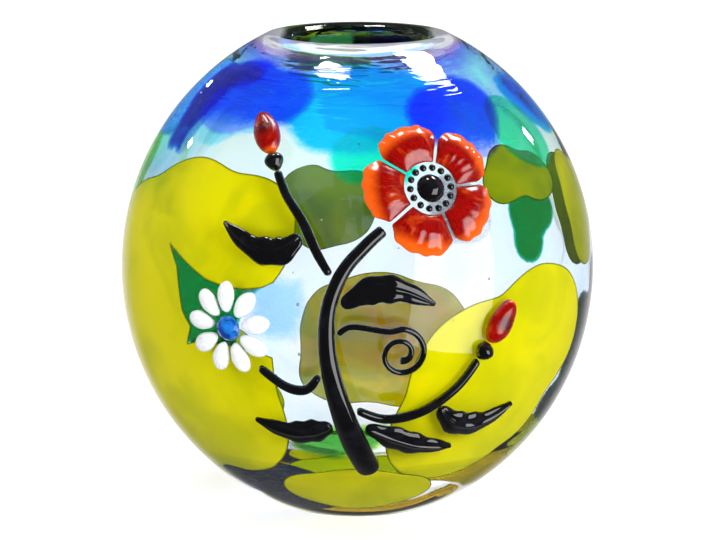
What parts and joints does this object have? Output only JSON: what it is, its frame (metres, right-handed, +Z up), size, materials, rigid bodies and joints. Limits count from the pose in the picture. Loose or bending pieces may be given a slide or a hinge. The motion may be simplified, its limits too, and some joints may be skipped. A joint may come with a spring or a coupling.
{
  "type": "vase",
  "caption": "Round cased glass vase with thick clear wall, coloured glass plates inside it, a rolled lip, a flat foot and applied glass flowers on the front.",
  "frame": {"origin": "centre of the flat foot", "axes": "+Z up along the vase's axis, the decorated front faces -Y"},
  "size_m": [0.24, 0.2449, 0.2401],
  "materials": {
    "clear_glass": "clear, polished",
    "lime_glass": "opaque, cased in clear",
    "olive_glass": "opaque, cased in clear",
    "green_glass": "transparent, cased in clear",
    "spring_glass": "transparent, cased in clear",
    "cobalt_glass": "transparent, cased in clear",
    "navy_glass": "transparent, cased in clear",
    "azure_glass": "transparent, cased in clear",
    "aqua_glass": "transparent, cased in clear",
    "teal_glass": "transparent, cased in clear",
    "sky_glass": "transparent, cased in clear",
    "opal_glass": "milky, cased in clear",
    "smoke_glass": "smoky, cased in clear",
    "lavender_glass": "milky, cased in clear",
    "black_glass": "opaque, fire-polished",
    "red_glass": "translucent, fire-polished",
    "white_glass": "opaque, fire-polished",
    "blue_glass": "opaque, fire-polished"
  },
  "bodies": {
    "root": {"casing": "clear_glass", "liner": "clear_glass", "first_gather": "clear_glass", "lavender_collar": "lavender_glass", "lime_left": "lime_glass", "lime_right": "lime_glass", "lime_foot": "lime_glass", "lime_edge": "lime_glass", "lime_back_left": "lime_glass", "lime_back_right": "lime_glass", "olive_upper": "olive_glass", "olive_lower": "olive_glass", "olive_right": "olive_glass", "green_window": "green_glass", "green_right": "green_glass", "green_foot": "green_glass", "green_neck": "green_glass", "spring_edge": "spring_glass", "cobalt_left": "cobalt_glass", "navy_streak": "navy_glass", "azure_front": "azure_glass", "cobalt_right": "cobalt_glass", "aqua_spot": "aqua_glass", "teal_spot": "teal_glass", "sky_left": "azure_glass", "sky_right": "azure_glass", "sky_window": "sky_glass", "cobalt_back": "cobalt_glass", "azure_back": "azure_glass", "aqua_back": "aqua_glass", "navy_foot": "navy_glass", "opal_right": "opal_glass", "smoke_right": "smoke_glass", "main_stem": "black_glass", "daisy_stem": "black_glass", "right_bud_stem": "black_glass", "left_bud_stem": "black_glass", "tendril": "black_glass", "foot_leaf": "black_glass", "low_leaf": "black_glass", "right_leaf": "black_glass", "middle_leaf": "black_glass", "upper_leaf": "black_glass", "poppy_petal_1": "red_glass", "poppy_petal_2": "red_glass", "poppy_petal_3": "red_glass", "poppy_petal_4": "red_glass", "poppy_petal_5": "red_glass", "poppy_heart": "black_glass", "poppy_stamens": "black_glass", "daisy_petals": "white_glass", "daisy_heart": "blue_glass", "right_bud": "red_glass", "right_calyx": "black_glass", "left_bud": "red_glass", "left_calyx": "black_glass"}
  },
  "joints": []
}
